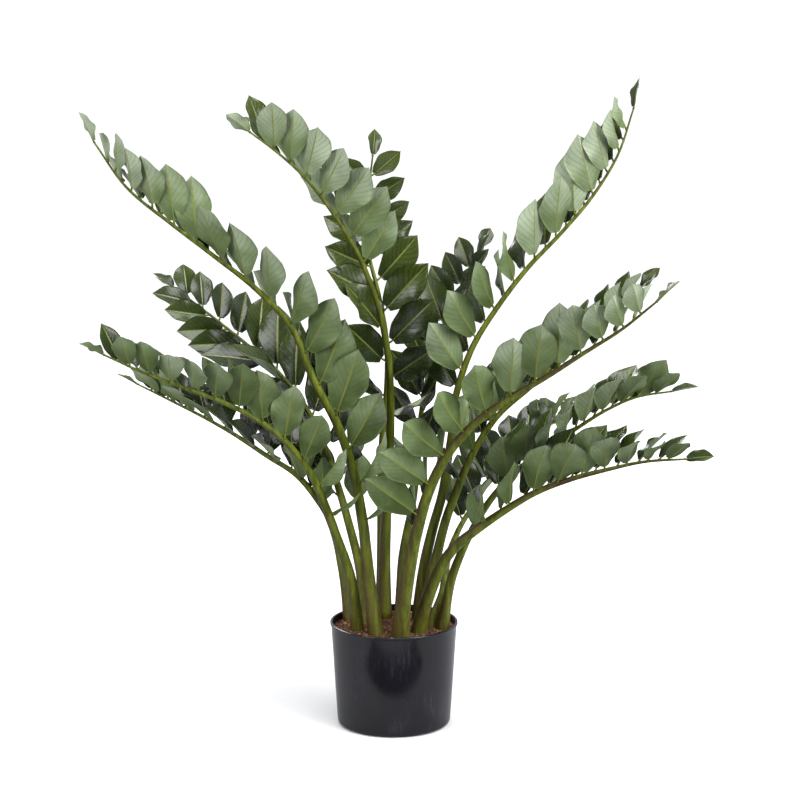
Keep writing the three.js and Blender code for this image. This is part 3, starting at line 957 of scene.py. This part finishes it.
@dataclass
class Fronds:
    """Thirteen fronds: on each a stem, two rows of leaflets and one at the tip."""

    count: int = 13
    leaflet: Leaflet = field(default_factory=Leaflet)
    stem: Stem = field(default_factory=Stem)

    def build(self, frame: Mapping[str, Any]) -> None:
        """Builds and dresses them.
        """
        skin_finish = StemSkin().material()
        leaf_finishes = [LEAF_UPPER.material(), LEAF_UNDER.material(), skin_finish]
        soil_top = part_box("soil")[1][2]
        for number in range(1, self.count + 1):
            name = f"{number:02d}"
            coarse = Spine.read(PackedNode(frame["nodes"][f"stem_{name}"]))
            fine = coarse.smooth(24)
            stem = Skin()
            self.stem.grow(stem, coarse, soil_top, number)
            piece = stem.build(f"frond_{name}_stem", [skin_finish])
            hand_over(piece, "stem", f"stem_{name}")
            for row in ("left", "right"):
                node = f"leaflets_{name}_{row}"
                self.row(frame, node, f"frond_{name}_{row}_leaflets", fine, leaf_finishes)
            self.row(frame, f"tip_leaflet_{name}", f"frond_{name}_end_leaflet", fine, leaf_finishes)

    def row(
        self,
        frame: Mapping[str, Any],
        node: str,
        name: str,
        spine: Spine,
        finishes: Sequence[bpy.types.Material],
    ) -> None:
        """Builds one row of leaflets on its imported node.

        Args:
            node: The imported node.
            name: The new piece's name.
            spine: The stem it grows from.
            finishes: Upper face, underside and stalk.
        """
        blades = read_blades(PackedNode(frame["nodes"][node]))
        skin = Skin()
        for i, blade in enumerate(blades):
            self.leaflet.grow(skin, blade, spine, 100 * sum(map(ord, name)) + i)
        piece = skin.build(name, finishes)
        hand_over(piece, "leaf", node)
        LOG.info("%s: %d leaflets", name, len(blades))


def hand_over(piece: bpy.types.Object, slot: str, *nodes: str) -> None:
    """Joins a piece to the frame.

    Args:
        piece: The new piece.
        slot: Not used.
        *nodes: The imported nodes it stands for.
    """
    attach(piece, "root")
    if nodes:
        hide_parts(*nodes)


@dataclass
class Pot:
    """The pot: a thin moulded shell with a small lip, a rounded foot and drain holes."""

    segments: int = 144
    wall: float = 2.6 * MM
    floor: float = 3 * MM
    corner: float = 7 * MM
    lip: float = 1.2 * MM
    lip_depth: float = 5 * MM
    base_radius: float = 93 * MM
    holes: int = 6
    hole_radius: float = 5 * MM
    hole_circle: float = 0.68  # the circle they stand on, as a share of the base's
    hole_sides: int = 28
    middle: float = 20 * MM  # radius of the flat disc in the middle of the base
    crease: float = math.radians(38)  # the least angle that is shaded as an edge

    def build(self) -> None:
        """Builds and dresses it."""
        low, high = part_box("pot")
        height, rim = high[2] - low[2], (high[0] - low[0]) / 2
        mesh = bmesh.new()
        outline = self.outline(height, rim)
        rings = [self.ring(mesh, radius, z) for radius, z in outline]
        for a, b in zip(rings, rings[1:]):
            for k in range(self.segments):
                n = (k + 1) % self.segments
                mesh.faces.new((a[k], a[n], b[n], b[k]))
        mesh.faces.new(rings[0][::-1])
        mesh.faces.new(rings[-1])
        data = bpy.data.meshes.new("round_pot")
        mesh.to_mesh(data)
        mesh.free()
        data.materials.append(PotPlastic().material())
        piece = set_down("round_pot", data)
        self.drill(piece)
        shade_faces(piece, smooth=True)
        piece.data.set_sharp_from_angle(angle=self.crease)
        hand_over(piece, "pot", "pot")
        LOG.info("round_pot: %d faces", len(piece.data.polygons))

    def outline(self, height: float, rim: float) -> list[tuple[float, float]]:
        """Draws the section, from under the base round the lip to the floor inside.

        Args:
            height: The pot's height.
            rim: The lip's radius.

        Returns:
            Radius and height of each point.
        """

        def side(z: float) -> float:
            """Gives the outer radius at a height."""
            return self.base_radius + (rim - self.lip - self.base_radius) * z / height

        def rounded(radius: float, z: float, size: float) -> list[tuple[float, float]]:
            """Draws a quarter round, from the floor up."""
            turns = [math.pi / 2 * i / 6 for i in range(7)]
            return [(radius - size + size * math.sin(a), z + size - size * math.cos(a)) for a in turns]

        shelf = height - self.lip_depth
        inner = self.corner - self.wall
        outer = rounded(side(self.corner), 0.0, self.corner)
        inside = rounded(side(self.floor + inner) - self.wall, self.floor, inner)
        lip = [
            (side(shelf), shelf),
            (rim - 0.3 * self.lip, shelf + 0.6 * self.lip),
            (rim, shelf + 1.3 * self.lip),
            (rim, height - 0.9 * MM),
            (rim - 0.3 * MM, height - 0.3 * MM),
            (rim - 0.9 * MM, height),
            (side(height) - self.wall + 0.5 * MM, height),
            (side(height) - self.wall, height - 0.5 * MM),
        ]
        return [(self.middle, 0.0), *outer, *lip, *inside[::-1], (self.middle, self.floor)]

    def ring(self, mesh: bmesh.types.BMesh, radius: float, z: float) -> list[bmesh.types.BMVert]:
        """Adds one ring of points.

        Args:
            mesh: The mesh in the making.
            radius: The ring's radius.
            z: Its height.

        Returns:
            Its points.
        """
        turns = [2 * math.pi * k / self.segments for k in range(self.segments)]
        return [mesh.verts.new((radius * math.cos(a), radius * math.sin(a), z)) for a in turns]

    def drill(self, piece: bpy.types.Object) -> None:
        """Cuts the drain holes.

        Args:
            piece: The pot.
        """
        cutter = bmesh.new()
        reach = self.base_radius * self.hole_circle
        for k in range(self.holes):
            a = 2 * math.pi * (k + 0.5) / self.holes
            spot = Matrix.Translation((reach * math.cos(a), reach * math.sin(a), 0))
            bmesh.ops.create_cone(
                cutter,
                cap_ends=True,
                segments=self.hole_sides,
                radius1=self.hole_radius,
                radius2=self.hole_radius,
                depth=self.floor * 4,
                matrix=spot,
            )
        data = bpy.data.meshes.new("drills")
        cutter.to_mesh(data)
        cutter.free()
        drills = set_down("drills", data)
        cut = piece.modifiers.new("holes", "BOOLEAN")
        cut.operation, cut.object, cut.solver = "DIFFERENCE", drills, "EXACT"
        apply_modifiers(piece)
        bpy.data.objects.remove(drills)


def apply_modifiers(piece: bpy.types.Object) -> None:
    """Turns a piece's modifiers into its mesh.

    Args:
        piece: The piece.
    """
    bpy.context.view_layer.update()
    graph = bpy.context.evaluated_depsgraph_get()
    made = bpy.data.meshes.new_from_object(piece.evaluated_get(graph))
    piece.modifiers.clear()
    piece.data = made


@dataclass
class Soil:
    """The soil's loose top: a rough crust with chips of bark and coir on it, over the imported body."""

    rings: int = 34
    spokes: int = 110
    chips: int = 2600
    chip_size: tuple[float, float] = (0.7 * MM, 2.1 * MM)
    big_share: float = 0.12  # the share of chips that are half as big again
    rough: float = 0.99 * MM  # height of the crust's bumps
    sunk: float = 2.6 * MM  # how much lower it lies at the rim than in the middle
    edge: float = 6 * MM  # depth of the crust at the rim

    def build(self, frame: Mapping[str, Any]) -> None:
        """Builds and dresses it.
        """
        finish = SOIL_CRUMB.material()
        body = frame["nodes"]["soil"]
        body.data.materials.clear()
        body.data.materials.append(finish)
        low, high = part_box("soil")
        reach = (high[0] - low[0]) / 2
        top = high[2]
        feet = []
        for name, node in frame["nodes"].items():
            if not name.startswith("stem_"):
                continue
            spine = Spine.read(PackedNode(node)).smooth(8)
            i = int(np.argmin(np.abs(spine.points[:, 2] - top)))
            feet.append((spine.points[i][:2], spine.radii[i]))
        self.crust(reach, top, finish)
        self.scatter(reach, top, feet, finish)

    def level(self, x: float, y: float, reach: float, top: float) -> float:
        """Gives the crust's height at a point."""
        away = math.hypot(x, y) / reach
        bumps = noise.fractal(Vector((x, y, 0)) * 130, 0.7, 2.1, 4)
        return top - self.sunk * away**2 + self.rough * bumps

    def crust(self, reach: float, top: float, finish: bpy.types.Material) -> None:
        """Builds the crust as a closed, thin body.

        Args:
            reach: The soil's radius.
            top: Its height in the middle.
            finish: Its material.
        """
        skin = Skin()
        points, places = [], []
        for r in range(self.rings):
            radius = reach * ((r + 0.5) / (self.rings - 0.5)) ** 0.8
            for s in range(self.spokes):
                a = 2 * math.pi * (s + 0.5 * (r % 2)) / self.spokes
                x, y = radius * math.cos(a), radius * math.sin(a)
                points.append((x, y, self.level(x, y, reach, top)))
                places.append((0.5, 0.5, 0.35 + 0.25 * noise.noise(Vector((x, y, 3)) * 200)))
        for s in range(self.spokes):
            a = 2 * math.pi * (s + 0.5 * ((self.rings - 1) % 2)) / self.spokes
            points.append((reach * math.cos(a), reach * math.sin(a), top - self.edge))
            places.append((0.5, 0.5, 0.3))
        faces = grid_faces(self.rings + 1, self.spokes, flipped=True, closed=True)
        last = self.rings * self.spokes
        faces += [tuple(range(self.spokes)), tuple(range(last + self.spokes - 1, last - 1, -1))]
        skin.add(np.array(points), np.array(places), faces, [0] * len(faces))
        piece = skin.build("soil_crust", [finish])
        hand_over(piece, "soil")
        LOG.info("soil_crust: %d points", skin.count)

    def scatter(
        self, reach: float, top: float, feet: Sequence[tuple[Array, float]], finish: bpy.types.Material
    ) -> None:
        """Strews chips over the crust, clear of the stems.

        Args:
            reach: The soil's radius.
            top: Its height in the middle.
            feet: Where each stem leaves the soil, and its radius.
            finish: Their material.
        """
        chance = np.random.default_rng(7)
        skin = Skin()
        ball = bmesh.new()
        bmesh.ops.create_icosphere(ball, subdivisions=1, radius=1)
        shape = np.array([v.co[:] for v in ball.verts])
        faces = [tuple(v.index for v in f.verts) for f in ball.faces]
        ball.free()
        for _ in range(self.chips):
            size = chance.uniform(*self.chip_size) * (1.5 if chance.random() < self.big_share else 1)
            away, a = (reach - 2 * size) * math.sqrt(chance.random()), chance.uniform(0, 2 * math.pi)
            x, y = away * math.cos(a), away * math.sin(a)
            if any(math.hypot(x - foot[0], y - foot[1]) < radius + size for foot, radius in feet):
                continue
            lengths = size * chance.uniform((0.8, 0.5, 0.3), (1.9, 1.0, 0.7))
            turn = Matrix.Rotation(chance.uniform(0, 6.28), 3, "Z")
            turn = turn @ Matrix.Rotation(chance.uniform(-0.6, 0.6), 3, "X")
            lumpy = shape * lengths * chance.uniform(0.75, 1.2, (len(shape), 1))
            spot = np.array((x, y, self.level(x, y, reach, top) + 0.3 * size))
            place = np.tile((0.5, 0.5, chance.uniform(0.0, 1.0)), (len(shape), 1))
            skin.add(lumpy @ np.array(turn).T + spot, place, faces, [0] * len(faces))
        piece = skin.build("soil_chips", [finish])
        shade_faces(piece, smooth=False)
        hand_over(piece, "soil")
        LOG.info("soil_chips: %d points", skin.count)


@dataclass
class Rhizomes:
    """The tubers that the soil hides: lumpy, with rings round them."""

    count: int = 4
    rings: int = 11
    inside: float = 0.93  # its mean size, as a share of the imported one

    def build(self, frame: Mapping[str, Any]) -> None:
        """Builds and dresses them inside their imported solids.
        """
        finish = TUBER_CORK.material()
        for number in range(1, self.count + 1):
            node = f"rhizome_{number}"
            body = PackedNode(frame["nodes"][node])
            middle = body.points.mean(axis=0)
            arms = body.points - middle
            _, _, axes = np.linalg.svd(arms, full_matrices=False)
            halves = np.abs(arms @ axes.T).max(axis=0)
            ball = bmesh.new()
            bmesh.ops.create_uvsphere(ball, u_segments=48, v_segments=32, radius=1)
            for vertex in ball.verts:
                x, y, z = vertex.co
                ring = 0.015 * math.sin(self.rings * math.pi * z)
                lump = 0.05 * noise.noise(Vector((x, y, z)) * 1.7 + Vector((number, 0, 0)))
                local = np.array((z, x, y)) * (self.inside + ring + lump) * halves
                vertex.co = Vector(middle + local @ axes)
            bmesh.ops.recalc_face_normals(ball, faces=ball.faces)
            data = bpy.data.meshes.new(f"tuber_{number}")
            ball.to_mesh(data)
            ball.free()
            data.materials.append(finish)
            piece = set_down(f"tuber_{number}", data)
            shade_faces(piece, smooth=True)
            hand_over(piece, "tuber", node)
            LOG.info("tuber_%d: %d points", number, len(data.vertices))


@dataclass
class Studio:
    """A white floor, soft light from above and three sides, a grey card, and the camera."""

    floor_size: float = 90.0
    clear: float = 0.5 * MM  # how far the floor lies below the pot, and the card above it
    room_glow: tuple[float, float] = (0.1, 0.55)  # how bright the room is in front and behind
    sheet_glow: float = 1.2
    sun_power: float = 2.9
    sun_width: float = math.radians(50)
    sun_lean: tuple[float, float, float] = (math.radians(14), math.radians(16), 0)
    card_half: float = 0.29
    card_span: tuple[float, float] = (-0.42, -0.235)  # the card's far and near edge, along Y
    camera_at: tuple[float, float, float] = (0.010, -3.5, 1.157)
    pitch: float = 10.0
    lens: float = 98.8
    film: float = 36.0

    def build(self) -> None:
        """Builds it all."""
        self.floor()
        self.light()
        self.card()
        self.camera()

    def floor(self) -> None:
        """Lays the floor."""
        mesh = bmesh.new()
        bmesh.ops.create_grid(mesh, x_segments=8, y_segments=8, size=self.floor_size / 2)
        data = bpy.data.meshes.new("studio_floor")
        mesh.to_mesh(data)
        mesh.free()
        paper = bpy.data.materials.new("white_paper")
        paper.use_nodes = True
        tree = paper.node_tree
        tree.nodes.clear()
        # Matte white paper: bright to look at, dimmer in reflections, and dimmer still as a source
        # of light from below.
        tints = ("#fafafb", "#b4b4b8", "#8c8c8c")
        seen, mirrored, given = (
            add_node(tree, "BsdfDiffuse", inputs={"Color": linear(tint)}) for tint in tints
        )
        path = add_node(tree, "LightPath")
        below = add_node(
            tree,
            "MixShader",
            inputs={0: path.outputs["Is Diffuse Ray"], 1: mirrored.outputs[0], 2: given.outputs[0]},
        )
        both = add_node(
            tree,
            "MixShader",
            inputs={0: path.outputs["Is Camera Ray"], 1: below.outputs[0], 2: seen.outputs[0]},
        )
        add_node(tree, "OutputMaterial", inputs={"Surface": both.outputs[0]})
        data.materials.append(paper)
        floor = set_down("studio_floor", data)
        floor.location.z = -self.clear

    def light(self) -> None:
        """Sets the world and the lamps."""
        world = bpy.data.worlds.new("studio")
        world.use_nodes = True
        tree = world.node_tree
        tree.nodes.clear()
        # The white sheet behind glows; the room in front of the plant is dimmer.
        towards = add_node(tree, "TexCoord")
        split = add_node(tree, "SeparateXYZ", inputs={0: towards.outputs["Generated"]})
        front, behind = self.room_glow
        glow = add_node(
            tree, "MapRange", inputs={0: split.outputs["Y"], 1: -0.5, 2: 0.6, 3: front, 4: behind}
        )
        dim = add_node(tree, "Background", inputs={"Color": (0.95, 0.98, 1, 1), "Strength": glow.outputs[0]})
        white = add_node(tree, "Background", inputs={"Color": (1, 1, 1, 1), "Strength": self.sheet_glow})
        path = add_node(tree, "LightPath")
        seen = path.outputs["Is Camera Ray"]
        mix = add_node(tree, "MixShader", inputs={0: seen, 1: dim.outputs[0], 2: white.outputs[0]})
        add_node(tree, "OutputWorld", inputs={"Surface": mix.outputs[0]})
        bpy.context.scene.world = world
        ceiling = bpy.data.lights.new("broad_ceiling", "SUN")
        ceiling.energy, ceiling.angle = self.sun_power, self.sun_width
        set_down("broad_ceiling", ceiling).rotation_euler = self.sun_lean
        self.lamp("softbox_left", (-2.3, -2.3, 1.7), (0, 0, 0.5), 1.5, 2.2, 54)
        self.lamp("softbox_right", (2.2, -1.9, 1.5), (0, 0, 0.5), 1.2, 2.4, 68)
        self.lamp("softbox_back", (-0.9, 2.9, 2.3), (0, 0, 0.6), 2.0, 1.2, 60)

    def card(self) -> None:
        """Lays a grey card before the pot, which only gloss sees, as a dark patch on its front."""
        side, (far, near) = self.card_half, self.card_span
        corners = [(-side, far, 0), (side, far, 0), (side, near, 0), (-side, near, 0)]
        data = bpy.data.meshes.new("grey_card")
        data.from_pydata(corners, [], [tuple(range(len(corners)))])
        # Wool felt: fibres with no gloss at all.
        felt = bpy.data.materials.new("grey_felt")
        felt.use_nodes = True
        tree = felt.node_tree
        tree.nodes.clear()
        dull = add_node(tree, "BsdfDiffuse", inputs={"Color": linear("#3a3a40")})
        add_node(tree, "OutputMaterial", inputs={"Surface": dull.outputs[0]})
        data.materials.append(felt)
        card = set_down("grey_card", data)
        card.location.z = self.clear
        card.visible_camera = card.visible_diffuse = card.visible_shadow = False

    def lamp(
        self,
        name: str,
        spot: tuple[float, float, float],
        aim: tuple[float, float, float],
        width: float,
        height: float,
        power: float,
    ) -> None:
        """Hangs one softbox.

        Args:
            name: Its name.
            spot: Where it hangs.
            aim: What it points at.
            width: Its width.
            height: Its height.
            power: Its power in watts.
        """
        data = bpy.data.lights.new(name, "AREA")
        data.shape, data.size, data.size_y, data.energy = "RECTANGLE", width, height, power
        lamp = set_down(name, data)
        lamp.location = spot
        lamp.rotation_euler = (Vector(aim) - Vector(spot)).to_track_quat("-Z", "Y").to_euler()

    def camera(self) -> None:
        """Sets up the camera."""
        data = bpy.data.cameras.new("camera")
        data.lens, data.sensor_width = self.lens, self.film
        data.clip_end = 200
        camera = set_down("camera", data)
        camera.location = self.camera_at
        camera.rotation_euler = (math.radians(90 - self.pitch), 0, 0)
        bpy.context.scene.camera = camera
        bpy.context.scene.view_settings.view_transform = "Standard"


def main() -> None:
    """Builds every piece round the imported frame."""
    logging.basicConfig(level=logging.INFO, format="%(name)s: %(message)s")
    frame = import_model()
    Studio().build()
    Pot().build()
    Soil().build(frame)
    Rhizomes().build(frame)
    Fronds().build(frame)
    bpy.context.view_layer.update()


if __name__ == "__main__":
    main()
